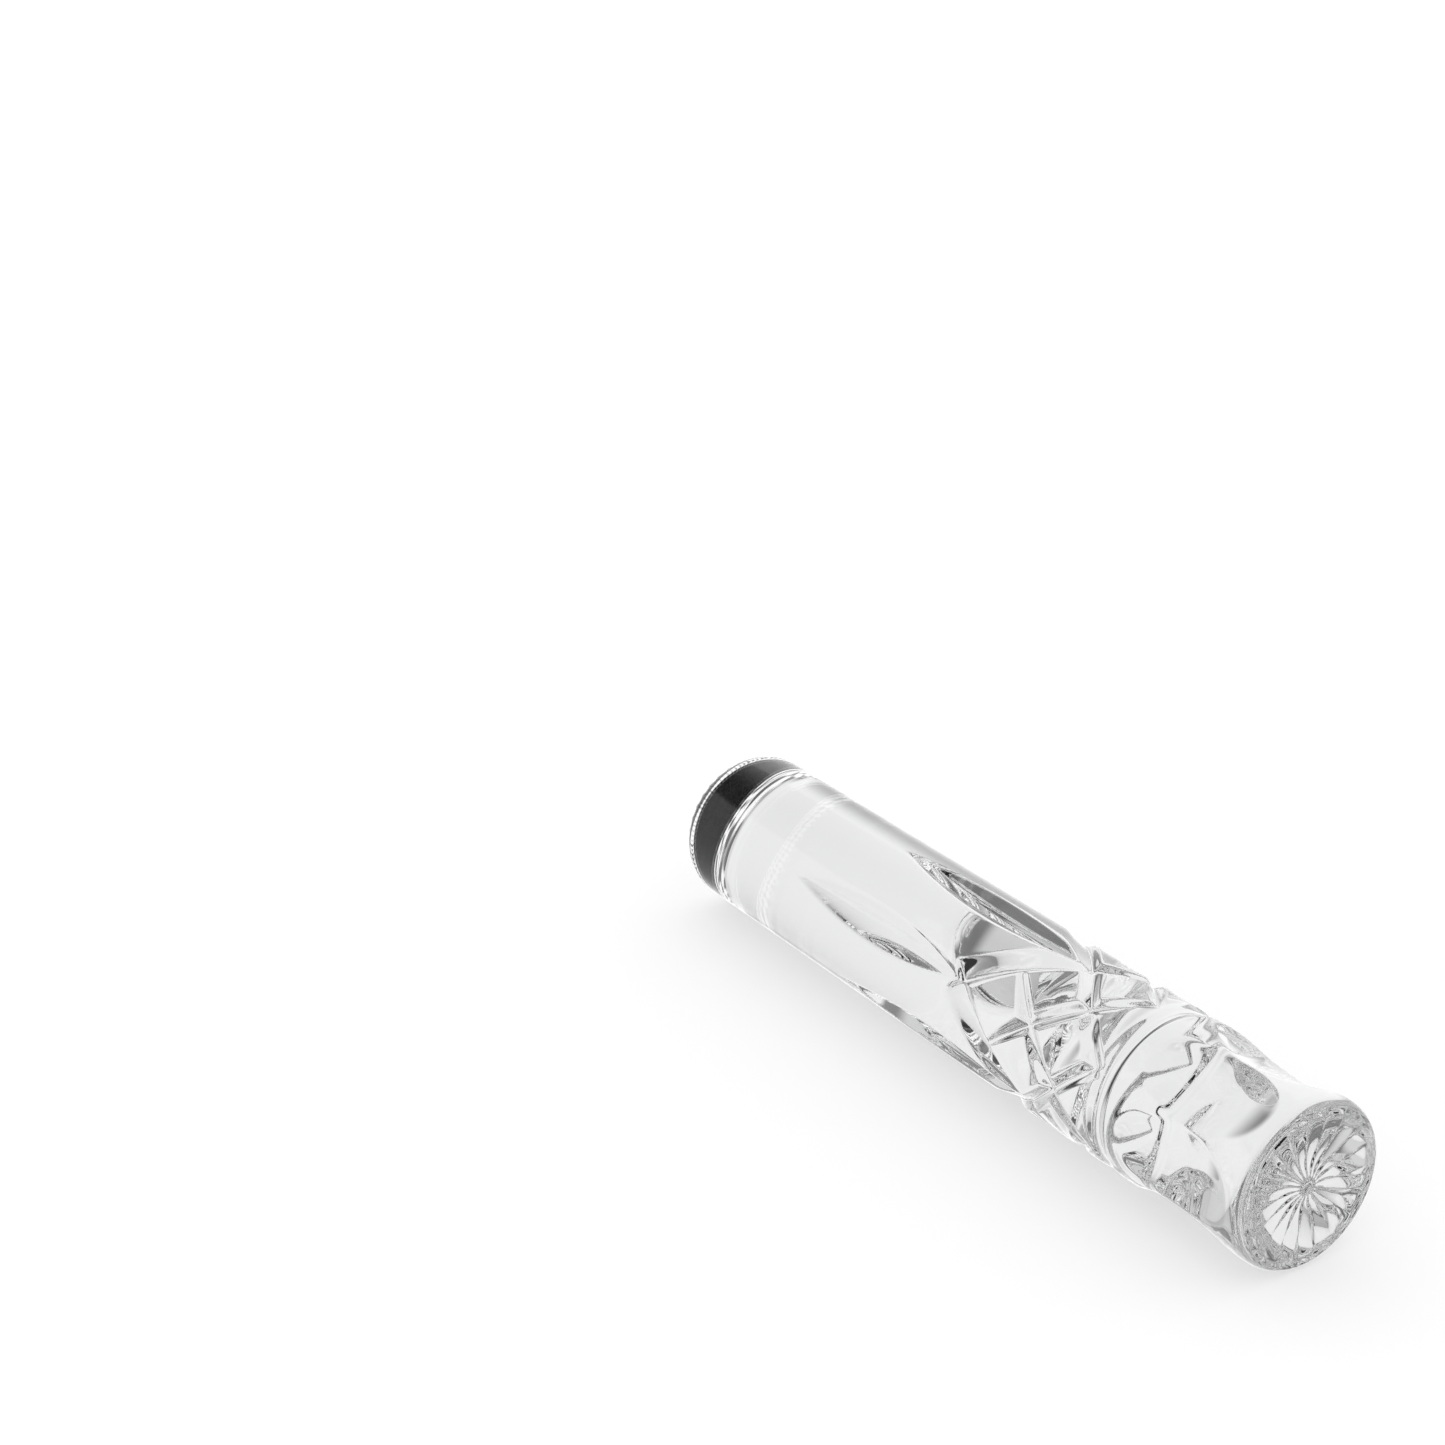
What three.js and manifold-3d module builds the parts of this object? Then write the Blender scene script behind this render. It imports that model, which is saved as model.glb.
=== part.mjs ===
// Cut crystal guitar slide: a solid crystal bar with a black end pad and a beaded trim ring.
// Millimetres. The bar lies along X with its cut foot at +X and rests on Z = 0.
import * as THREE from 'three';
import { mergeVertices } from 'three/addons/utils/BufferGeometryUtils.js';
import Module from 'manifold-3d';

const wasm = await Module();
wasm.setup();

// Overall size
const BAR_R = 11;
const BAR_LENGTH = 116;
const BAR_SEGMENTS = 36;

// Butt end: rounded lip around a shallow recess that seats the pad and the trim ring
const LIP_ROUND = 3.2;
const RECESS_R = 7.6;
const RECESS_DEPTH = 0.5;
const SEAT_GAP = 0.3;
const PAD_R = 4.9;
const PAD_PROUD = 1.0;
const PAD_EDGE = 0.3;
const MIDDLE = (BAR_LENGTH - PAD_PROUD) / 2;
const RING_INNER_R = 5.2;
const RING_OUTER_R = 7.3;
const RING_PROUD = 0.7;
const RING_BEADS = 36;

// Waist groove, shoulder, neck and foot, as stations from the butt end
const GROOVE_START = 89.2;
const GROOVE_BOTTOM = 91.5;
const GROOVE_END = 93.2;
const GROOVE_DEPTH = 0.42;
const SHOULDER_END = 95.8;
const NECK_START = 100.2;
const NECK_END = 107.6;
const NECK_R = 10.65;
const FOOT_EDGE = 113.7;
const FOOT_FACE_R = 9.9;

// Hollow panels round the neck, flat across and deepest at one station
const NECK_PANELS = 6;
const PANEL_START = 95;
const PANEL_DEEPEST = 104.5;
const PANEL_END = 113.5;
const PANEL_DEPTH = 1.8;
const PANEL_CLEARANCE = 0.6;
const PANEL_WIDTH = 14;

// Star cut into the dished foot face
const DISH_R = 9.2;
const DISH_DEPTH = 0.5;
const STAR_RAYS = 18;
const STAR_INNER = 0.3;
const STAR_OUTER = 9.3;
const STAR_DEPTH = 1.4;
const STAR_TOP = 1.2;
const STAR_HALF_TURN = Math.PI / STAR_RAYS;
const STAR_SPREAD = 1.2 * Math.tan(STAR_HALF_TURN);
const STAR_SHALLOW = 0.25;

// Mitre cuts: stations and angles of the points where the cuts meet
const SECTORS = 3;
const SECTOR_TURN = (2 * Math.PI) / SECTORS;
const HALF_TURN = SECTOR_TURN / 2;
const TOP_ANGLE = Math.PI / 2;
const LONG_LEAF_START = 27;
const SHORT_LEAF_START = 39.5;
const FIRST_NODE = 63.4;
const SECOND_NODE = 77.4;
const THIRD_NODE = 89;
const CUT_CLEARANCE = 0.6;
const LEAF_CUT = { steps: 10, middle: 1.95, ends: 0.0, left: 1.27, right: 1.27 };
const WIDE_CUT = { steps: 6, middle: 0.95, ends: 1.0, left: 2.6, right: 0.9 };
const NARROW_CUT = { steps: 6, middle: 0.8, ends: 1.0, left: 1.3, right: 1.3 };
const CROSS_CUT = { steps: 6, middle: 0.9, ends: 0.3, left: 1.2, right: 1.2 };

function toManifold(geometry) {
  const bare = geometry.clone();
  bare.deleteAttribute('normal');
  bare.deleteAttribute('uv');
  const merged = mergeVertices(bare, 1e-5);
  const vertProperties = new Float32Array(merged.attributes.position.array);
  const triVerts = new Uint32Array(merged.index.array);
  return new wasm.Manifold(new wasm.Mesh({ numProp: 3, vertProperties, triVerts }));
}

function toGeometry(solid) {
  const mesh = solid.getMesh();
  const geometry = new THREE.BufferGeometry();
  geometry.setAttribute('position', new THREE.BufferAttribute(mesh.vertProperties, 3));
  geometry.setIndex(new THREE.BufferAttribute(mesh.triVerts, 1));
  geometry.computeVertexNormals();
  return geometry;
}

// Turns a profile of (radius, station) points about the bar's own axis. Each facet is
// tangent to the true circle and one of them faces down, so the bar rests flat.
function turned(points, segments) {
  const geometry = new THREE.LatheGeometry(points, segments);
  const tangent = 1 / Math.cos(Math.PI / segments);
  geometry.rotateY(Math.PI / segments);
  geometry.scale(tangent, 1, tangent);
  geometry.rotateZ(-Math.PI / 2);
  geometry.translate(-MIDDLE, 0, BAR_R);
  return geometry;
}

// Places a point given by station, angle about the axis and radius.
function onBar(target, station, angle, radius) {
  const y = radius * Math.cos(angle);
  const z = BAR_R + radius * Math.sin(angle);
  target.set(station - MIDDLE, y, z);
}

function barProfile() {
  const path = new THREE.Path();
  path.moveTo(0, 0);
  path.lineTo(BAR_R - LIP_ROUND, 0);
  path.absarc(BAR_R - LIP_ROUND, LIP_ROUND, LIP_ROUND, -Math.PI / 2, 0, false);
  path.lineTo(BAR_R, GROOVE_START);
  path.quadraticCurveTo(BAR_R - GROOVE_DEPTH, GROOVE_START + 0.5, BAR_R - GROOVE_DEPTH, GROOVE_BOTTOM);
  path.quadraticCurveTo(BAR_R - GROOVE_DEPTH, GROOVE_END - 0.5, BAR_R, GROOVE_END);
  path.lineTo(BAR_R - 0.1, SHOULDER_END);
  path.bezierCurveTo(BAR_R - 0.3, SHOULDER_END + 1.6, NECK_R, NECK_START - 2.4, NECK_R, NECK_START);
  path.lineTo(NECK_R, NECK_END);
  path.bezierCurveTo(NECK_R, NECK_END + 3, BAR_R, FOOT_EDGE - 3.6, BAR_R, FOOT_EDGE);
  path.quadraticCurveTo(BAR_R, BAR_LENGTH, FOOT_FACE_R, BAR_LENGTH);
  path.lineTo(0, BAR_LENGTH);
  return uniquePoints(path.getPoints(6));
}

function uniquePoints(points) {
  return points.filter((point, i) => i === 0 || point.distanceTo(points[i - 1]) > 1e-3);
}

// A V-shaped bar of unit length whose rows are bent onto the path of one mitre cut.
function mitreCut(from, to, cut) {
  const section = new THREE.Shape([
    new THREE.Vector2(0, 0),
    new THREE.Vector2(1, 1),
    new THREE.Vector2(-1, 1),
  ]);
  const geometry = new THREE.ExtrudeGeometry(section, {
    depth: 1,
    steps: cut.steps,
    bevelEnabled: false,
  });
  const run = new THREE.Vector2(to.station - from.station, BAR_R * (to.angle - from.angle));
  const heading = run.clone().normalize();
  const positions = geometry.attributes.position;
  const point = new THREE.Vector3();
  for (let i = 0; i < positions.count; i += 1) {
    point.fromBufferAttribute(positions, i);
    const arch = 1 - (2 * point.z - 1) ** 2;
    const depth = cut.ends + (cut.middle - cut.ends) * arch;
    const height = depth + CUT_CLEARANCE;
    const spread = point.x * height * (point.x < 0 ? cut.left : cut.right);
    const station = from.station + run.x * point.z + heading.y * spread;
    const angle = from.angle + (run.y * point.z - heading.x * spread) / BAR_R;
    onBar(point, station, angle, BAR_R - depth + height * point.y);
    positions.setXYZ(i, point.x, point.y, point.z);
  }
  return geometry;
}

// The cuts of one third of the bar, turned to the sector's own angle.
function sectorCuts(turn) {
  const long = TOP_ANGLE + HALF_TURN + turn;
  const short = TOP_ANGLE + turn;
  const next = short + SECTOR_TURN;
  const first = { station: FIRST_NODE, angle: long };
  const near = { station: SECOND_NODE, angle: short };
  const far = { station: SECOND_NODE, angle: next };
  const last = { station: THIRD_NODE, angle: long };
  const nearEdge = { station: (FIRST_NODE + SECOND_NODE) / 2, angle: (long + short) / 2 };
  const farEdge = { station: nearEdge.station, angle: (long + next) / 2 };
  const nearRing = { station: THIRD_NODE, angle: short };
  const farRing = { station: THIRD_NODE, angle: next };
  return [
    mitreCut({ station: LONG_LEAF_START, angle: long }, first, LEAF_CUT),
    mitreCut({ station: SHORT_LEAF_START, angle: short }, near, LEAF_CUT),
    mitreCut(near, first, WIDE_CUT),
    mitreCut(first, far, WIDE_CUT),
    mitreCut(near, last, NARROW_CUT),
    mitreCut(far, last, NARROW_CUT),
    mitreCut(nearEdge, farRing, CROSS_CUT),
    mitreCut(farEdge, nearRing, CROSS_CUT),
  ];
}

// The tool for one neck panel: its underside is a parabola along the bar.
function neckPanel(angle) {
  const floor = BAR_R - PANEL_DEPTH;
  const top = BAR_R + PANEL_CLEARANCE;
  const stretch = Math.sqrt(1 + PANEL_CLEARANCE / PANEL_DEPTH);
  const start = PANEL_DEEPEST - (PANEL_DEEPEST - PANEL_START) * stretch;
  const end = PANEL_DEEPEST + (PANEL_END - PANEL_DEEPEST) * stretch;
  const side = new THREE.Shape();
  side.moveTo(start, top);
  side.quadraticCurveTo((start + PANEL_DEEPEST) / 2, floor, PANEL_DEEPEST, floor);
  side.quadraticCurveTo((end + PANEL_DEEPEST) / 2, floor, end, top);
  side.closePath();
  const geometry = new THREE.ExtrudeGeometry(side, {
    depth: PANEL_WIDTH,
    curveSegments: 8,
    bevelEnabled: false,
  });
  geometry.translate(-MIDDLE, 0, -PANEL_WIDTH / 2);
  geometry.rotateX(angle);
  geometry.translate(0, 0, BAR_R);
  return geometry;
}

// One ray of the star: a flat-walled V from the centre of the foot face to its rim.
function starRay(angle) {
  const section = new THREE.Shape([
    new THREE.Vector2(0, 0),
    new THREE.Vector2(1, 1),
    new THREE.Vector2(-1, 1),
  ]);
  const geometry = new THREE.ExtrudeGeometry(section, { depth: 1, steps: 4, bevelEnabled: false });
  const positions = geometry.attributes.position;
  const point = new THREE.Vector3();
  for (let i = 0; i < positions.count; i += 1) {
    point.fromBufferAttribute(positions, i);
    const radius = STAR_INNER + (STAR_OUTER - STAR_INNER) * point.z;
    const depth = STAR_DEPTH * (1 - (2 * point.z - 1) ** 2);
    const height = depth + STAR_TOP;
    const half = radius * STAR_SPREAD * height / Math.max(depth, STAR_SHALLOW);
    const across = point.x * half;
    const y = radius * Math.cos(angle) - across * Math.sin(angle);
    const z = BAR_R + radius * Math.sin(angle) + across * Math.cos(angle);
    positions.setXYZ(i, BAR_LENGTH - MIDDLE - depth + height * point.y, y, z);
  }
  return geometry;
}

function dishProfile() {
  const path = new THREE.Path();
  path.moveTo(0, BAR_LENGTH - DISH_DEPTH);
  path.quadraticCurveTo(DISH_R / 2, BAR_LENGTH - DISH_DEPTH, DISH_R, BAR_LENGTH);
  path.lineTo(DISH_R, BAR_LENGTH + 1);
  path.lineTo(0, BAR_LENGTH + 1);
  return uniquePoints(path.getPoints(4));
}

function crystalBar() {
  let solid = toManifold(turned(barProfile(), BAR_SEGMENTS));
  const recess = [
    new THREE.Vector2(0, -1),
    new THREE.Vector2(RECESS_R, -1),
    new THREE.Vector2(RECESS_R, RECESS_DEPTH),
    new THREE.Vector2(0, RECESS_DEPTH),
  ];
  solid = solid.subtract(toManifold(turned(recess, BAR_SEGMENTS)));
  for (let k = 0; k < SECTORS; k += 1) {
    for (const cut of sectorCuts(k * SECTOR_TURN)) {
      solid = solid.subtract(toManifold(cut));
    }
  }
  for (let k = 0; k < NECK_PANELS; k += 1) {
    const angle = TOP_ANGLE + (2 * Math.PI * (k + 0.5)) / NECK_PANELS;
    solid = solid.subtract(toManifold(neckPanel(angle)));
  }
  solid = solid.subtract(toManifold(turned(dishProfile(), BAR_SEGMENTS)));
  for (let k = 0; k < STAR_RAYS; k += 1) {
    solid = solid.subtract(toManifold(starRay(TOP_ANGLE + 2 * STAR_HALF_TURN * k)));
  }
  return toGeometry(largestBody(solid));
}

// Drops the slivers left standing where cuts cross.
function largestBody(solid) {
  const bodies = solid.decompose();
  bodies.sort((a, b) => b.volume() - a.volume());
  return bodies[0];
}

function endPad() {
  const inner = RECESS_DEPTH - SEAT_GAP;
  return turned([
    new THREE.Vector2(0, -PAD_PROUD),
    new THREE.Vector2(PAD_R - PAD_EDGE, -PAD_PROUD),
    new THREE.Vector2(PAD_R, -PAD_PROUD + PAD_EDGE),
    new THREE.Vector2(PAD_R, inner),
    new THREE.Vector2(0, inner),
  ], BAR_SEGMENTS);
}

// The trim ring: a flat ring whose outer face is notched into a row of beads.
function beadRing() {
  const inner = RECESS_DEPTH - SEAT_GAP;
  const middle = (RING_INNER_R + RING_OUTER_R) / 2;
  const profile = [
    new THREE.Vector2(RING_INNER_R, inner),
    new THREE.Vector2(RING_INNER_R, -RING_PROUD / 2),
    new THREE.Vector2(middle, -RING_PROUD),
    new THREE.Vector2(RING_OUTER_R, -RING_PROUD / 2),
    new THREE.Vector2(RING_OUTER_R, inner),
    new THREE.Vector2(RING_INNER_R, inner),
  ];
  let solid = toManifold(turned(profile, RING_BEADS));
  for (let k = 0; k < RING_BEADS; k += 1) {
    const notch = new THREE.CylinderGeometry(0.3, 0.3, 2, 4);
    notch.translate(0, middle, 0);
    notch.rotateX((2 * Math.PI * (k + 0.5)) / RING_BEADS);
    notch.translate(-MIDDLE - RING_PROUD, 0, BAR_R);
    solid = solid.subtract(toManifold(notch));
  }
  return toGeometry(solid);
}

const crystal = new THREE.MeshStandardMaterial({ color: 0xf2f4f7, roughness: 0.03, metalness: 0 });
const blackPad = new THREE.MeshStandardMaterial({ color: 0x0b0b0d, roughness: 0.6, metalness: 0 });
const bright = new THREE.MeshStandardMaterial({ color: 0xd8dadd, roughness: 0.2, metalness: 1 });

function part(name, geometry, material) {
  const mesh = new THREE.Mesh(geometry, material);
  mesh.name = name;
  return mesh;
}

const slide = new THREE.Group();
slide.name = 'crystal_slide';
slide.add(part('crystal_bar', crystalBar(), crystal));
slide.add(part('end_pad', endPad(), blackPad));
slide.add(part('bead_ring', beadRing(), bright));

export default slide;
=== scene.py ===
import math

import bmesh
import bpy
import numpy as np
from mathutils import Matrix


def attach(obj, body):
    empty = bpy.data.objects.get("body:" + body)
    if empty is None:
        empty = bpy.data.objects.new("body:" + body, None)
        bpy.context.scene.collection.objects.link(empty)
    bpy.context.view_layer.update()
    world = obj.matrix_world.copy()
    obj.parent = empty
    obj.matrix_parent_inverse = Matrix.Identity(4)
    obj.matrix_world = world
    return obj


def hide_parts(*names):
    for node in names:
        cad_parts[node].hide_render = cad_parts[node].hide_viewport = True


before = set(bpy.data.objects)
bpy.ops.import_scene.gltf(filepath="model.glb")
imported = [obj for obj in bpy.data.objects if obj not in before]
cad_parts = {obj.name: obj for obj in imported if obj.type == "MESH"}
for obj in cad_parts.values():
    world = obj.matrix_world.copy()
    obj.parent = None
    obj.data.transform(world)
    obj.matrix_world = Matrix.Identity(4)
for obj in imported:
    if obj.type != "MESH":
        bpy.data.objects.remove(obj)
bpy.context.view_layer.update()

# Sizes are in millimetres and turns are in radians, unless a comment says otherwise.
# Stations run along the bar from its butt end, and radii from its axis.
MM = 0.001
BAR_R = 11.0
BAR_LENGTH = 116.0
PAD_PROUD = 1.0
MIDDLE = (BAR_LENGTH - PAD_PROUD) / 2
TOP_ANGLE = math.pi / 2

# Butt end: a rounded lip with small beads round a shallow recess
LIP_ROUND = 3.2
LIP_ROWS = 26
LIP_BEAD_DEPTH = 0.1
RECESS_R = 7.6
RECESS_DEPTH = 0.5
RECESS_EDGE = 0.06
RECESS_CENTRE_R = 0.6
SEAT = 0.2

# Soft pad: radius and depth of each ring of its dish, then its rolled edge
PAD_R = 4.9
PAD_FLAT_R = 4.2
PAD_DISH = ((0.4, 0.12), (2.0, 0.1), (3.2, 0.05), (3.8, 0.01), (PAD_FLAT_R, 0.0))
PAD_ROLL = 0.7
PAD_ROLL_ROWS = 8
PAD_CHAMFER = 0.05
PAD_CENTRE_R = 0.4
PAD_SEGMENTS = 144

# Trim ring: how far its edge and its beads stand out, and how fast a bead falls away from its middle
RING_INNER_R = 5.2
RING_OUTER_R = 7.3
RING_EDGE = 0.15
RING_PROUD = 0.7
RING_BEADS = 36
RING_BEAD_COLUMNS = 14
RING_ROWS = 13
BEAD_FALL_ALONG = 0.85
BEAD_FALL_ACROSS = 0.9

# Backing on the glass: black inside BOND_R, a dark strip, then beads with a painted glow, standing in for
# glints, out to BACKING_R
BOND_R = 5.3
STRIP_R = 6.2
BACKING_R = 10.0
BACKING_BEADS = 2 * RING_BEADS
BACKING_ROW_PITCH = 1.05

# Ring groove, shallow waist and foot
GROOVE_START = 89.2
GROOVE_BOTTOM = 91.5
GROOVE_END = 93.2
GROOVE_DEPTH = 0.42
WAIST_START = 95.6
WAIST_DEEP_START = 100.6
WAIST_DEEP_END = 106.6
WAIST_END = 114.3
WAIST_DEPTH = 0.35
FOOT_EDGE = 113.7
FOOT_FACE_R = 9.9
FOOT_ROWS = 12

# Hollow panels of the neck
NECK_PANELS = 6
PANEL_START = 95.0
PANEL_DEEPEST = 104.5
PANEL_END = 113.5
PANEL_DEPTH = 1.8

# Star cut in the dished foot face
DISH_R = 9.2
DISH_DEPTH = 0.5
STAR_RAYS = 18
STAR_INNER = 0.3
STAR_OUTER = 9.3
STAR_CENTRE_R = 0.25
STAR_DEPTH = 1.4
STAR_SHALLOW = 0.25
STAR_SPREAD = 1.2
STAR_RIM_WIDTH = 0.1
STAR_ROWS = 42

# Mitre cuts: stations where they meet, three equal sectors of them round the bar, how far above the
# barrel their walls are carried, and how fast a cut gets shallower beyond its ends
LONG_LEAF_START = 27.0
SHORT_LEAF_START = 39.5
FIRST_NODE = 63.4
SECOND_NODE = 77.4
THIRD_NODE = 89.0
SECTORS = 3
CUT_CLEARANCE = 0.6
RUN_OUT = 1.2

# Each cut: its depth at middle and ends, and how wide its walls open per unit of depth
LEAF_CUT = dict(middle=1.95, ends=0.0, left=1.27, right=1.27)
WIDE_CUT = dict(middle=0.95, ends=1.0, left=2.6, right=0.9)
NARROW_CUT = dict(middle=0.8, ends=1.0, left=1.3, right=1.3)
CROSS_CUT = dict(middle=0.9, ends=0.3, left=1.2, right=1.2)

# Rounding left by polishing, and the angle from which an edge is shaded sharp
VALLEY_ROUND = 0.2
STAR_ROUND = 0.15
RIDGE_ROUND = 0.2
PANEL_ROUND = 0.2
PETAL_ROUND = 0.12
SHARP_EDGE = math.radians(50)

# Mesh of the side: where each span of rows ends, and the distance between its rows
TURN_SEGMENTS = 324
ROW_SPANS = ((25.0, 4.0), (59.4, 0.8), (93.5, 0.31), (102.2, 0.4), (106.6, 0.6), (FOOT_EDGE, 0.4))

# Camera at the photo's angle, with its turn in degrees
CAMERA_AT = (239.6364, -198.1602, 180.6764)
CAMERA_TURN = (66.6766, 0.0, 56.8093)
CAMERA_LENS = 67.2664
CAMERA_SENSOR = 36.0
CAMERA_CLIP = 10.0

# Floor: half its width, and its drop below the bar
FLOOR_HALF = 6000.0
FLOOR_DROP = 0.2


# Shapes
def link(name, mesh):
    piece = bpy.data.objects.new(name, mesh)
    bpy.context.scene.collection.objects.link(piece)
    return piece


def turn_angles(count):
    return 2 * np.pi * np.arange(count) / count


def repeated(values, columns):
    """One row per value, the same in every column."""
    return np.repeat(np.asarray(values)[:, None], columns, axis=1)


def quadratic(p0, p1, p2, count):
    """Points after p0 on a quadratic curve."""
    t = np.linspace(0, 1, count + 1)[1:, None]
    p0, p1, p2 = map(np.array, (p0, p1, p2))
    return (1 - t) ** 2 * p0 + 2 * t * (1 - t) * p1 + t ** 2 * p2


def ease(value, low, high):
    """A rise from 0 to 1 that starts and ends without a kink in slope or curvature."""
    t = np.clip((value - low) / (high - low), 0, 1)
    return t * t * t * (t * (6 * t - 15) + 10)


def hump(station, start, top, end, foot):
    """0 up to start, 1 from top to end, and 0 again from foot."""
    return ease(station, start, top) * (1 - ease(station, end, foot))


def soft_min(a, b, blend):
    """The lower of two surfaces, with the ridge between them rounded over."""
    near = np.maximum(blend - np.abs(a - b), 0) / blend
    return np.minimum(a, b) - near ** 2 * blend / 4


def valley(across, rounding):
    """Distance from the bottom line of a V, with the bottom rounded."""
    return np.sqrt(across ** 2 + rounding ** 2) - rounding / 2


def side_radius(station):
    """Radius of the uncut side: the barrel, the ring groove, the shallow waist and the flared foot."""
    groove = GROOVE_DEPTH * hump(station, GROOVE_START, GROOVE_BOTTOM, GROOVE_BOTTOM, GROOVE_END)
    waist = WAIST_DEPTH * hump(station, WAIST_START, WAIST_DEEP_START, WAIST_DEEP_END, WAIST_END)
    return BAR_R - groove - waist


def neck_panels(station, angle):
    """Radius of the neck panels: flat across, hollow along the bar, and meeting in ridges."""
    reach = np.where(station < PANEL_DEEPEST, PANEL_DEEPEST - PANEL_START, PANEL_END - PANEL_DEEPEST)
    panel_r = BAR_R - PANEL_DEPTH * (1 - ((station - PANEL_DEEPEST) / reach) ** 2)
    spacing = 2 * np.pi / NECK_PANELS
    first = TOP_ANGLE + spacing / 2
    turn = angle - first - np.round((angle - first) / spacing) * spacing
    return panel_r / np.cos(turn)


def mitre_surface(station, angle, start, end, cut):
    """Radius of the V-shaped surface that one wheel cut would leave everywhere."""
    run = np.array([end[0] - start[0], BAR_R * (end[1] - start[1])])
    length = np.hypot(*run)
    heading = run / length
    middle = (start[1] + end[1]) / 2
    turn = (angle - middle + np.pi) % (2 * np.pi) - np.pi + middle - start[1]
    ds, da = station - start[0], BAR_R * turn
    t = (ds * heading[0] + da * heading[1]) / length
    across = ds * heading[1] - da * heading[0]
    inside = np.clip(t, 0, 1)
    beyond = np.abs(t - inside) * length
    depth = cut["ends"] + (cut["middle"] - cut["ends"]) * (1 - (2 * inside - 1) ** 2)
    height = depth + CUT_CLEARANCE
    curve = heading[0] ** 2 / BAR_R
    radius = BAR_R - depth + beyond * RUN_OUT + curve * across ** 2 / 2
    for side, sign in (("left", -1), ("right", 1)):
        top = height * cut[side]
        slope = (height - curve * top ** 2 / 2) / top
        radius = radius + np.where(across * sign > 0, valley(across, VALLEY_ROUND) * slope, 0)
    return radius


def side_cuts():
    """Start, end and section of every cut round the bar."""
    cuts = []
    half = math.pi / SECTORS
    middle = (FIRST_NODE + SECOND_NODE) / 2
    for k in range(SECTORS):
        short = TOP_ANGLE + 2 * half * k
        long, after = short + half, short + 2 * half
        first, last = (FIRST_NODE, long), (THIRD_NODE, long)
        near, far = (SECOND_NODE, short), (SECOND_NODE, after)
        cuts += [
            ((LONG_LEAF_START, long), first, LEAF_CUT),
            ((SHORT_LEAF_START, short), near, LEAF_CUT),
            (near, first, WIDE_CUT),
            (first, far, WIDE_CUT),
            (near, last, NARROW_CUT),
            (far, last, NARROW_CUT),
            ((middle, (long + short) / 2), (THIRD_NODE, after), CROSS_CUT),
            ((middle, (long + after) / 2), (THIRD_NODE, short), CROSS_CUT),
        ]
    return cuts


def side_rows():
    """Stations of the mesh rows along the side, closest where the cuts are finest."""
    rows = [LIP_ROUND]
    for end, spacing in ROW_SPANS:
        count = max(2, round((end - rows[-1]) / spacing)) + 1
        rows += list(np.linspace(rows[-1], end, count)[1:])
    return np.array(rows)


def side_surface(angles):
    """Station and radius of the cut side, one row per station."""
    rows = side_rows()
    station, angle = np.meshgrid(rows, angles, indexing="ij")
    radius = repeated(side_radius(rows), len(angles))
    radius = soft_min(radius, neck_panels(station, angle), PANEL_ROUND)
    for start, end, cut in side_cuts():
        radius = soft_min(radius, mitre_surface(station, angle, start, end, cut), RIDGE_ROUND)
    return station, radius


def star_surface(angles):
    """Station and radius of the star-cut foot face, one row per radius, rim first."""
    rim = np.linspace(FOOT_FACE_R, STAR_OUTER + STAR_RIM_WIDTH, 3)[1:]
    rows = np.concatenate([rim, np.linspace(STAR_OUTER, STAR_CENTRE_R, STAR_ROWS)])
    radius, angle = np.meshgrid(rows, angles, indexing="ij")
    station = BAR_LENGTH - DISH_DEPTH * np.clip(1 - (radius / DISH_R) ** 2, 0, 1)
    spacing = 2 * math.pi / STAR_RAYS
    nearest = np.round((angle - TOP_ANGLE) / spacing) * spacing + TOP_ANGLE
    spread = STAR_SPREAD * math.tan(spacing / 2)
    for neighbour in (-1, 0, 1):
        turn = angle - nearest - neighbour * spacing
        along, across = radius * np.cos(turn), radius * np.sin(turn)
        t = (along - STAR_INNER) / (STAR_OUTER - STAR_INNER)
        depth = STAR_DEPTH * (1 - (2 * t - 1) ** 4)
        slope = np.maximum(depth, STAR_SHALLOW) / (np.maximum(along, STAR_INNER) * spread)
        ray = BAR_LENGTH - depth + valley(across, STAR_ROUND) * slope
        station = soft_min(station, ray, PETAL_ROUND)
    return station, radius


def ring_surface(points, columns):
    """Station and radius of rows that run straight round the bar, from (radius, station) points."""
    points = np.array(points)
    return repeated(points[:, 1], columns), repeated(points[:, 0], columns)


def lip_surface(angles):
    """The rounded butt lip, with two staggered rows of small beads on the two thirds next to its face."""
    turn = np.linspace(0, np.pi / 2, LIP_ROWS)[:-1]
    radius = repeated(BAR_R - LIP_ROUND * (1 - np.sin(turn)), len(angles))
    station = repeated(LIP_ROUND * (1 - np.cos(turn)), len(angles))
    row = np.clip(3 * turn[:, None] / (np.pi / 2), 0, 2)
    stagger = np.where(row < 1, 0.0, np.pi)
    wave = np.cos(RING_BEADS * angles[None, :] + stagger)
    bead = LIP_BEAD_DEPTH * np.sin(np.pi * row) ** 2 * wave
    return station + bead * np.cos(turn)[:, None], radius - bead * np.sin(turn)[:, None]


def shade(mesh):
    """Turn the faces outward, and shade smoothly except at sharp edges."""
    working = bmesh.new()
    working.from_mesh(mesh)
    bmesh.ops.recalc_face_normals(working, faces=working.faces[:])
    for face in working.faces:
        face.smooth = True
    for edge in working.edges:
        edge.smooth = edge.calc_face_angle(0) < SHARP_EDGE
    working.to_mesh(mesh)
    working.free()


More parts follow.
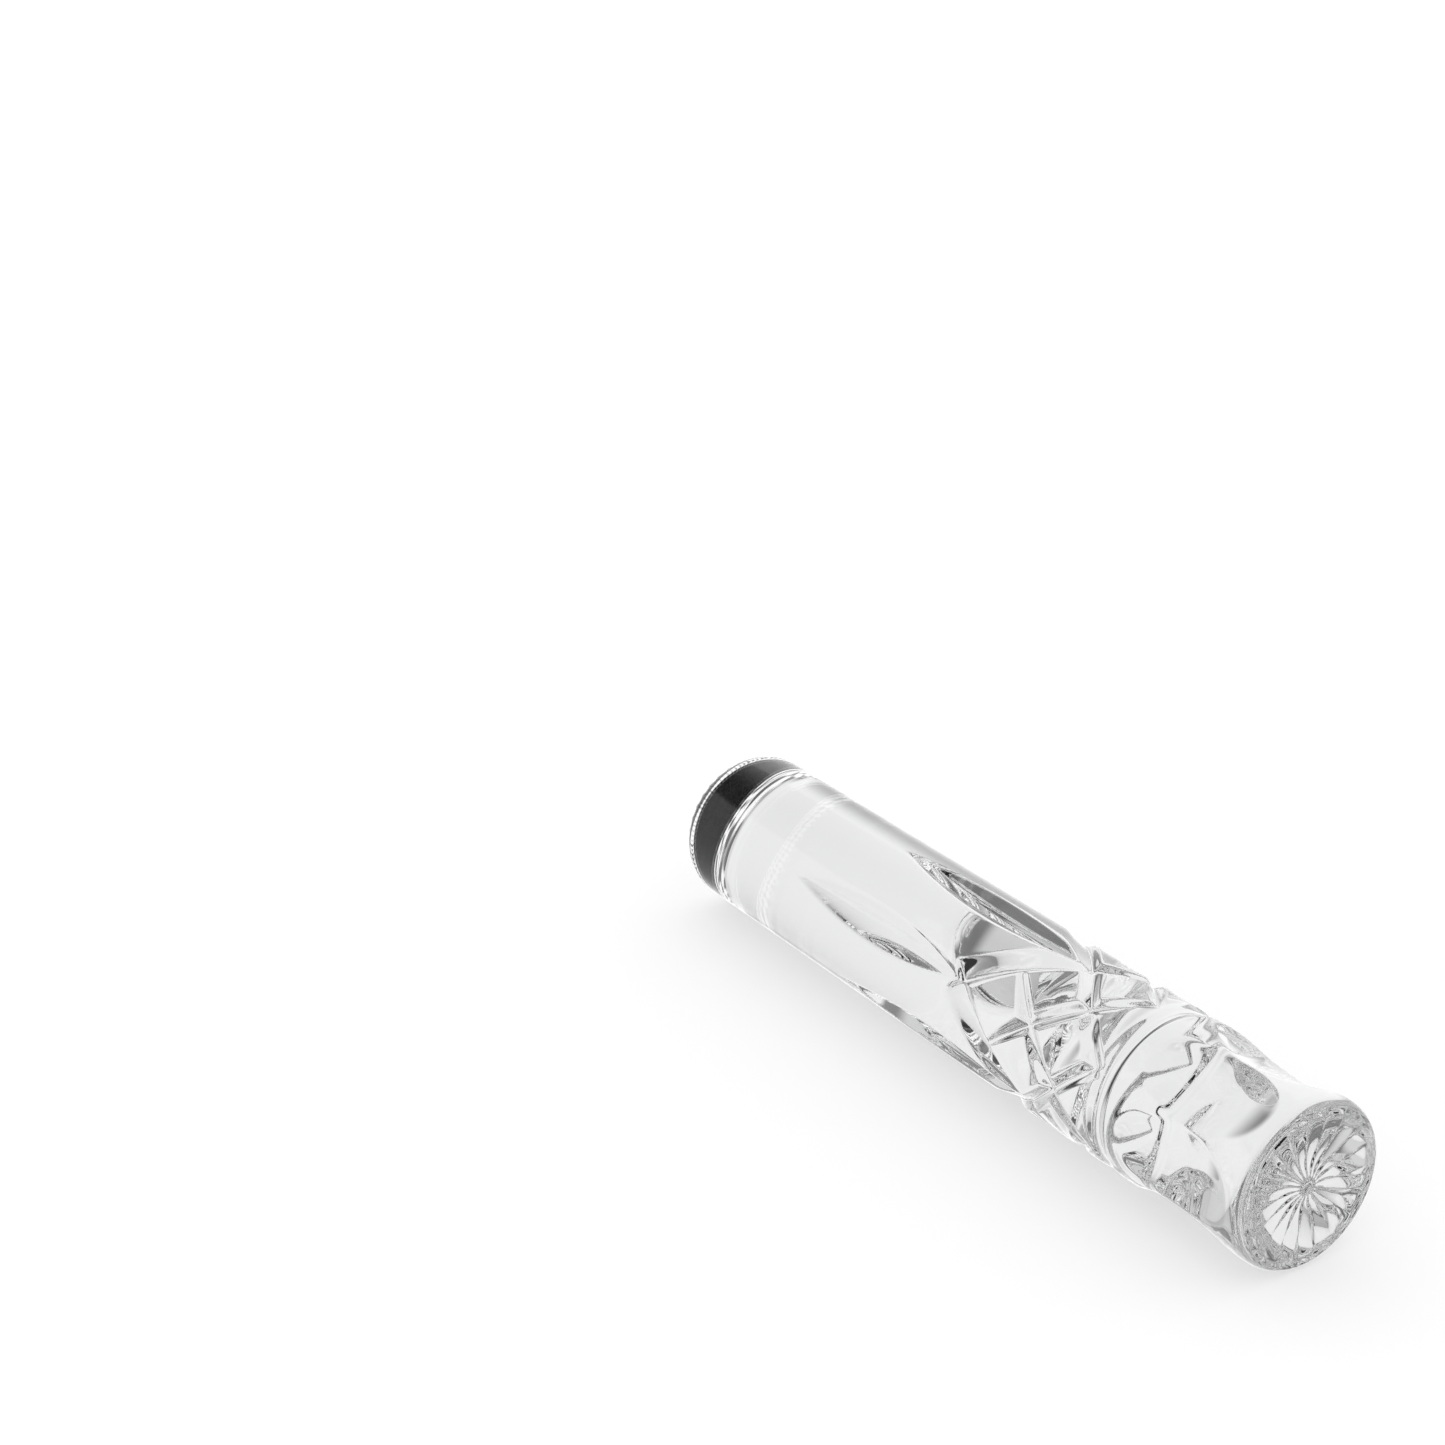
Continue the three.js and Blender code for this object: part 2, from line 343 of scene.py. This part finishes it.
def bar_mesh(name, blocks, angles, loop=False):
    """A closed piece from blocks of station and radius rows, joined as a loop or capped at both ends."""
    station, radius = (np.vstack(rows) for rows in zip(*blocks))
    rows, columns = radius.shape
    x = station - MIDDLE
    y = radius * np.cos(angles)
    z = BAR_R + radius * np.sin(angles)
    vertices = np.stack([x, y, z], axis=-1).reshape(-1, 3)
    ids = np.arange(rows * columns).reshape(rows, columns)
    if loop:
        ids = np.vstack([ids, ids[:1]])
    after = np.roll(ids, -1, axis=1)
    faces = np.stack([ids[:-1], ids[1:], after[1:], after[:-1]], axis=-1).reshape(-1, 4).tolist()
    if not loop:
        ends = [(x[k].mean(), 0, BAR_R) for k in (0, -1)]
        vertices = np.vstack([vertices, ends])
        first, last = rows * columns, rows * columns + 1
        faces += [(first, a, b) for a, b in zip(ids[0].tolist(), after[0].tolist())]
        faces += [(last, b, a) for a, b in zip(ids[-1].tolist(), after[-1].tolist())]
    mesh = bpy.data.meshes.new(name)
    mesh.from_pydata((vertices * MM).tolist(), [], faces)
    shade(mesh)
    return link(name, mesh)


def build_crystal():
    """The crystal bar, from the floor of its recess round the lip and along the side to the star."""
    angles = TOP_ANGLE + turn_angles(TURN_SEGMENTS)
    recess = [
        (RECESS_CENTRE_R, RECESS_DEPTH),
        (BOND_R, RECESS_DEPTH),
        (RECESS_R, RECESS_DEPTH),
        (RECESS_R, RECESS_EDGE),
        (RECESS_R + RECESS_EDGE, 0.0),
    ]
    foot = quadratic((BAR_R, FOOT_EDGE), (BAR_R, BAR_LENGTH), (FOOT_FACE_R, BAR_LENGTH), FOOT_ROWS)
    blocks = [
        ring_surface(recess, TURN_SEGMENTS),
        lip_surface(angles),
        side_surface(angles),
        ring_surface(foot, TURN_SEGMENTS),
        star_surface(angles),
    ]
    return bar_mesh("crystal_body", blocks, angles)


def build_pad():
    """The soft end pad: a flat disc with a rolled edge and a shallow dish."""
    face = -PAD_PROUD
    dish = [(radius, face + depth) for radius, depth in PAD_DISH]
    edge = quadratic((PAD_FLAT_R, face), (PAD_R, face), (PAD_R, face + PAD_ROLL), PAD_ROLL_ROWS)
    seat = [(PAD_R, SEAT - PAD_CHAMFER), (PAD_R - PAD_CHAMFER, SEAT), (PAD_CENTRE_R, SEAT)]
    block = ring_surface(dish + edge.tolist() + seat, PAD_SEGMENTS)
    return bar_mesh("soft_pad", [block], turn_angles(PAD_SEGMENTS))


def build_ring():
    """The bright trim ring: a flat band carrying a row of round beads."""
    count = RING_BEADS * RING_BEAD_COLUMNS
    angles = turn_angles(count)
    half = (RING_OUTER_R - RING_INNER_R) / 2
    across = np.linspace(-1, 1, RING_ROWS)[:, None]
    along = (angles * RING_BEADS / (2 * np.pi)) % 1 * 2 - 1
    fall = BEAD_FALL_ALONG * along[None, :] ** 2 + BEAD_FALL_ACROSS * across ** 2
    dome = np.sqrt(np.clip(1 - fall, 0, 1))
    station = -RING_EDGE - (RING_PROUD - RING_EDGE) * dome
    radius = repeated(RING_INNER_R + half * (1 + across[:, 0]), count)
    seat = ring_surface([(RING_OUTER_R, SEAT), (RING_INNER_R, SEAT)], count)
    return bar_mesh("beaded_trim", [(station, radius), seat], angles, loop=True)


# Shader nodes
def feed(tree, node, slot, value):
    """Give a node's input a number or a link."""
    if isinstance(value, (int, float)):
        node.inputs[slot].default_value = value
    else:
        tree.links.new(value, node.inputs[slot])


def math_of(tree, operation, *values):
    node = tree.nodes.new("ShaderNodeMath")
    node.operation = operation
    for slot, value in enumerate(values):
        feed(tree, node, slot, value)
    return node.outputs[0]


def map_range(tree, value, low, high, start, end, smooth=False):
    """A value carried from the range low to high into the range start to end."""
    node = tree.nodes.new("ShaderNodeMapRange")
    node.interpolation_type = "SMOOTHSTEP" if smooth else "LINEAR"
    bounds = {"Value": value, "From Min": low, "From Max": high, "To Min": start, "To Max": end}
    for name, number in bounds.items():
        feed(tree, node, name, number)
    return node.outputs["Result"]


def step(tree, value, low, high, start, end):
    """A smooth step from start to end while the value goes from low to high."""
    return map_range(tree, value, low, high, start, end, smooth=True)


def choose(tree, factor, a, b):
    """a where the factor is 0 and b where it is 1."""
    node = tree.nodes.new("ShaderNodeMix")
    node.data_type = "FLOAT"
    for slot, value in ((0, factor), (2, a), (3, b)):
        feed(tree, node, slot, value)
    return node.outputs[0]


def colour_ramp(tree, field, stops):
    """Colours at positions along a field."""
    ramp = tree.nodes.new("ShaderNodeValToRGB")
    for element, (position, colour) in zip(ramp.color_ramp.elements, stops):
        element.position = position
        element.color = (*colour, 1)
    tree.links.new(field, ramp.inputs["Fac"])
    return ramp.outputs["Color"]


def relief(tree, surface, field, strength, distance):
    """Bump a surface from a field."""
    bump = tree.nodes.new("ShaderNodeBump")
    bump.inputs["Strength"].default_value = strength
    bump.inputs["Distance"].default_value = distance * MM
    tree.links.new(field, bump.inputs["Height"])
    tree.links.new(bump.outputs["Normal"], surface.inputs["Normal"])


def noise_field(tree, scale, detail):
    """Even noise in object space."""
    coords = tree.nodes.new("ShaderNodeTexCoord")
    noise = tree.nodes.new("ShaderNodeTexNoise")
    noise.inputs["Scale"].default_value = scale
    noise.inputs["Detail"].default_value = detail
    tree.links.new(coords.outputs["Object"], noise.inputs["Vector"])
    return noise.outputs["Fac"]


def new_material(name):
    """An empty material, with its tree and its output socket."""
    material = bpy.data.materials.new(name)
    material.use_nodes = True
    tree = material.node_tree
    tree.nodes.clear()
    out = tree.nodes.new("ShaderNodeOutputMaterial")
    return material, tree, out.inputs["Surface"]


def varied_surface(tree, field, colours, roughness, strength, distance):
    """A surface whose colour, roughness and bump follow a noise field."""
    low, high = 0.3, 0.7
    surface = tree.nodes.new("ShaderNodeBsdfPrincipled")
    colour = colour_ramp(tree, field, zip((low, high), colours))
    tree.links.new(colour, surface.inputs["Base Color"])
    tree.links.new(map_range(tree, field, low, high, *roughness), surface.inputs["Roughness"])
    relief(tree, surface, field, strength, distance)
    return surface


# Materials
def crystal_material():
    """Polished crystal that lets lamps through."""
    material, tree, out = new_material("lead_crystal")
    glass = varied_surface(
        tree,
        noise_field(tree, scale=90.0, detail=2.0),
        colours=((0.978, 0.982, 0.986), (0.99, 0.992, 0.994)),
        roughness=(0.0, 0.004),
        strength=0.02,
        distance=0.02,
    )
    glass.inputs["Transmission Weight"].default_value = 1.0
    glass.inputs["IOR"].default_value = 1.54
    clear = tree.nodes.new("ShaderNodeBsdfTransparent")
    path = tree.nodes.new("ShaderNodeLightPath")
    mix = tree.nodes.new("ShaderNodeMixShader")
    tree.links.new(path.outputs["Is Shadow Ray"], mix.inputs["Fac"])
    tree.links.new(glass.outputs["BSDF"], mix.inputs[1])
    tree.links.new(clear.outputs["BSDF"], mix.inputs[2])
    tree.links.new(mix.outputs["Shader"], out)
    return material


def plain_material(name, scale, metallic, **looks):
    """An opaque material that varies with fine noise."""
    material, tree, out = new_material(name)
    surface = varied_surface(tree, noise_field(tree, scale, detail=6.0), **looks)
    surface.inputs["Metallic"].default_value = metallic
    tree.links.new(surface.outputs["BSDF"], out)
    return material


def bead_pattern(tree, radius, angle):
    """Rows of small beads round the axis, roughened by speckle."""
    rows = math_of(tree, "COSINE", math_of(tree, "MULTIPLY", radius, 2 * math.pi / (BACKING_ROW_PITCH * MM)))
    beads = math_of(tree, "COSINE", math_of(tree, "MULTIPLY", angle, float(BACKING_BEADS)))
    speckle = math_of(tree, "SUBTRACT", noise_field(tree, scale=1800.0, detail=3.0), 0.5)
    even = math_of(tree, "MULTIPLY", math_of(tree, "ADD", rows, beads), 0.3)
    return math_of(tree, "ADD", even, math_of(tree, "MULTIPLY", speckle, 1.6))


def painted_glow_backing_material():
    """The backing of the trim, seen through the glass: rows of small beads outside a dark strip, made bright
    by a painted glow that stands in for glints.
    """
    material, tree, out = new_material("trim_backing_painted_glow")
    coords = tree.nodes.new("ShaderNodeTexCoord")
    split = tree.nodes.new("ShaderNodeSeparateXYZ")
    tree.links.new(coords.outputs["Object"], split.inputs[0])
    y, z = split.outputs["Y"], math_of(tree, "SUBTRACT", split.outputs["Z"], BAR_R * MM)
    squares = math_of(tree, "ADD", math_of(tree, "MULTIPLY", y, y), math_of(tree, "MULTIPLY", z, z))
    radius = math_of(tree, "SQRT", squares)
    pattern = bead_pattern(tree, radius, math_of(tree, "ARCTAN2", z, y))
    stops = ((0.2, (0.12, 0.12, 0.12)), (0.7, (1.0, 1.0, 1.0)))
    beads = colour_ramp(tree, math_of(tree, "ADD", pattern, 0.5), stops)
    outside = math_of(tree, "GREATER_THAN", radius, STRIP_R * MM)
    dim = tree.nodes.new("ShaderNodeVectorMath")
    dim.operation = "SCALE"
    tree.links.new(beads, dim.inputs[0])
    tree.links.new(choose(tree, outside, 0.12, 1.0), dim.inputs["Scale"])
    surface = tree.nodes.new("ShaderNodeBsdfPrincipled")
    tree.links.new(dim.outputs[0], surface.inputs["Base Color"])
    # Painted glow: the backing emits light of its own, standing in for glints seen through the glass
    tree.links.new(dim.outputs[0], surface.inputs["Emission Color"])
    surface.inputs["Emission Strength"].default_value = 0.7
    surface.inputs["Roughness"].default_value = 0.6
    relief(tree, surface, pattern, strength=0.3, distance=0.1)
    tree.links.new(surface.outputs["BSDF"], out)
    material.cycles.emission_sampling = "NONE"
    return material


def paint_crystal(crystal):
    """Clear glass, with the black bond and the backing with its painted glow on the butt end."""
    crystal.data.materials.append(crystal_material())
    crystal.data.materials.append(plain_material(
        "pad_bond",
        scale=900.0,
        metallic=0.0,
        colours=((0.003, 0.003, 0.003), (0.006, 0.006, 0.007)),
        roughness=(0.6, 0.8),
        strength=0.1,
        distance=0.02,
    ))
    # Third slot: the backing, whose bright beads are a painted glow standing in for glints
    crystal.data.materials.append(painted_glow_backing_material())
    for face in crystal.data.polygons:
        centre = face.center / MM
        radius = math.hypot(centre.y, centre.z - BAR_R)
        if radius < BACKING_R and centre.x + MIDDLE < 2 * RECESS_DEPTH:
            face.material_index = 1 if radius < BOND_R else 2


def paint_pad(pad):
    pad.data.materials.append(plain_material(
        "soft_black",
        scale=2500.0,
        metallic=0.0,
        colours=((0.008, 0.008, 0.009), (0.02, 0.02, 0.022)),
        roughness=(0.45, 0.7),
        strength=0.35,
        distance=0.08,
    ))


def paint_ring(ring):
    ring.data.materials.append(plain_material(
        "bright_metal",
        scale=700.0,
        metallic=1.0,
        colours=((0.72, 0.73, 0.75), (0.86, 0.87, 0.88)),
        roughness=(0.12, 0.26),
        strength=0.15,
        distance=0.03,
    ))


# Camera and studio
def add_camera():
    data = bpy.data.cameras.new("camera")
    data.sensor_width = CAMERA_SENSOR
    data.lens = CAMERA_LENS
    data.clip_start = CAMERA_CLIP * MM
    camera = link("camera", data)
    camera.location = [value * MM for value in CAMERA_AT]
    camera.rotation_euler = [math.radians(value) for value in CAMERA_TURN]
    bpy.context.scene.camera = camera


def add_floor():
    """A pale floor that only the camera and soft light see."""
    half = FLOOR_HALF * MM
    corners = [(-half, -half, 0), (half, -half, 0), (half, half, 0), (-half, half, 0)]
    mesh = bpy.data.meshes.new("floor")
    mesh.from_pydata(corners, [], [(0, 1, 2, 3)])
    floor = link("floor", mesh)
    floor.location.z = -FLOOR_DROP * MM
    material, tree, out = new_material("pale_floor")
    paper = tree.nodes.new("ShaderNodeBsdfDiffuse")
    paper.inputs["Color"].default_value = (0.42, 0.42, 0.42, 1)
    glow = tree.nodes.new("ShaderNodeEmission")
    glow.inputs["Strength"].default_value = 0.56
    both = tree.nodes.new("ShaderNodeAddShader")
    tree.links.new(paper.outputs["BSDF"], both.inputs[0])
    tree.links.new(glow.outputs["Emission"], both.inputs[1])
    tree.links.new(both.outputs["Shader"], out)
    floor.data.materials.append(material)
    floor.visible_transmission = False
    floor.visible_glossy = False


def refracted_light(tree, x, y, z):
    """What rays through the glass find: a bright field to -X and +Y, softer ones ahead and to both sides,
    dark gaps between them, and a grey zenith."""
    ceiling = step(tree, z, low=0.48, high=0.54, start=1.0, end=0.2)
    behind = step(tree, x, low=-0.5, high=-0.15, start=0.9, end=0.01)
    aside = step(tree, y, low=-0.4, high=0.0, start=0.22, end=1.0)
    ahead = step(tree, x, low=0.3, high=0.55, start=0.0, end=0.7)
    beside = step(tree, math_of(tree, "ABSOLUTE", y), low=0.78, high=0.9, start=0.0, end=0.7)
    around = math_of(tree, "MAXIMUM", ahead, beside)
    field = math_of(tree, "MAXIMUM", math_of(tree, "MULTIPLY", behind, aside), around)
    zenith = step(tree, z, low=0.62, high=0.72, start=0.0, end=0.45)
    return math_of(tree, "ADD", math_of(tree, "MULTIPLY", field, ceiling), zenith)


def mirrored_light(tree, x, y, z):
    """What the surfaces mirror: brightest to -X and +Y, nearly dark to +X, and darker to -Y when high."""
    low = step(tree, y, low=-0.2, high=0.5, start=0.6, end=1.3)
    high = step(tree, y, low=-0.15, high=0.8, start=0.03, end=1.3)
    above = step(tree, z, low=0.48, high=0.54, start=0.0, end=1.0)
    fade = step(tree, x, low=-0.5, high=0.2, start=1.0, end=0.05)
    return math_of(tree, "MULTIPLY", choose(tree, above, low, high), fade)


def add_world():
    """A soft studio whose light depends on the direction and the kind of a ray."""
    world = bpy.data.worlds.new("studio")
    bpy.context.scene.world = world
    world.use_nodes = True
    tree = world.node_tree
    tree.nodes.clear()
    coords = tree.nodes.new("ShaderNodeTexCoord")
    split = tree.nodes.new("ShaderNodeSeparateXYZ")
    tree.links.new(coords.outputs["Generated"], split.inputs[0])
    direction = [split.outputs[name] for name in "XYZ"]
    path = tree.nodes.new("ShaderNodeLightPath").outputs
    refracted, mirrored = refracted_light(tree, *direction), mirrored_light(tree, *direction)
    sharp = choose(tree, path["Is Transmission Ray"], mirrored, refracted)
    soft = choose(tree, path["Is Diffuse Ray"], sharp, 1.12)
    seen = choose(tree, path["Is Camera Ray"], soft, 1.0)
    sky = tree.nodes.new("ShaderNodeBackground")
    tree.links.new(seen, sky.inputs["Color"])
    out = tree.nodes.new("ShaderNodeOutputWorld")
    tree.links.new(sky.outputs["Background"], out.inputs["Surface"])
    world.cycles.sampling_method = "NONE"


def set_scene():
    """Plain tones, and enough bounces for light to find its way through the cuts."""
    scene = bpy.context.scene
    scene.view_settings.view_transform = "Standard"
    scene.cycles.max_bounces = 32
    scene.cycles.transmission_bounces = 32
    scene.cycles.glossy_bounces = 16
    scene.cycles.transparent_max_bounces = 16
    scene.cycles.sample_clamp_indirect = 4.0


for build, paint, node, slot in (
    (build_crystal, paint_crystal, "crystal_bar", "crystal"),
    (build_pad, paint_pad, "end_pad", "pad"),
    (build_ring, paint_ring, "bead_ring", "trim"),
):
    piece = build()
    paint(piece)
    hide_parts(node)
    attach(piece, "root")
add_camera()
add_floor()
add_world()
set_scene()
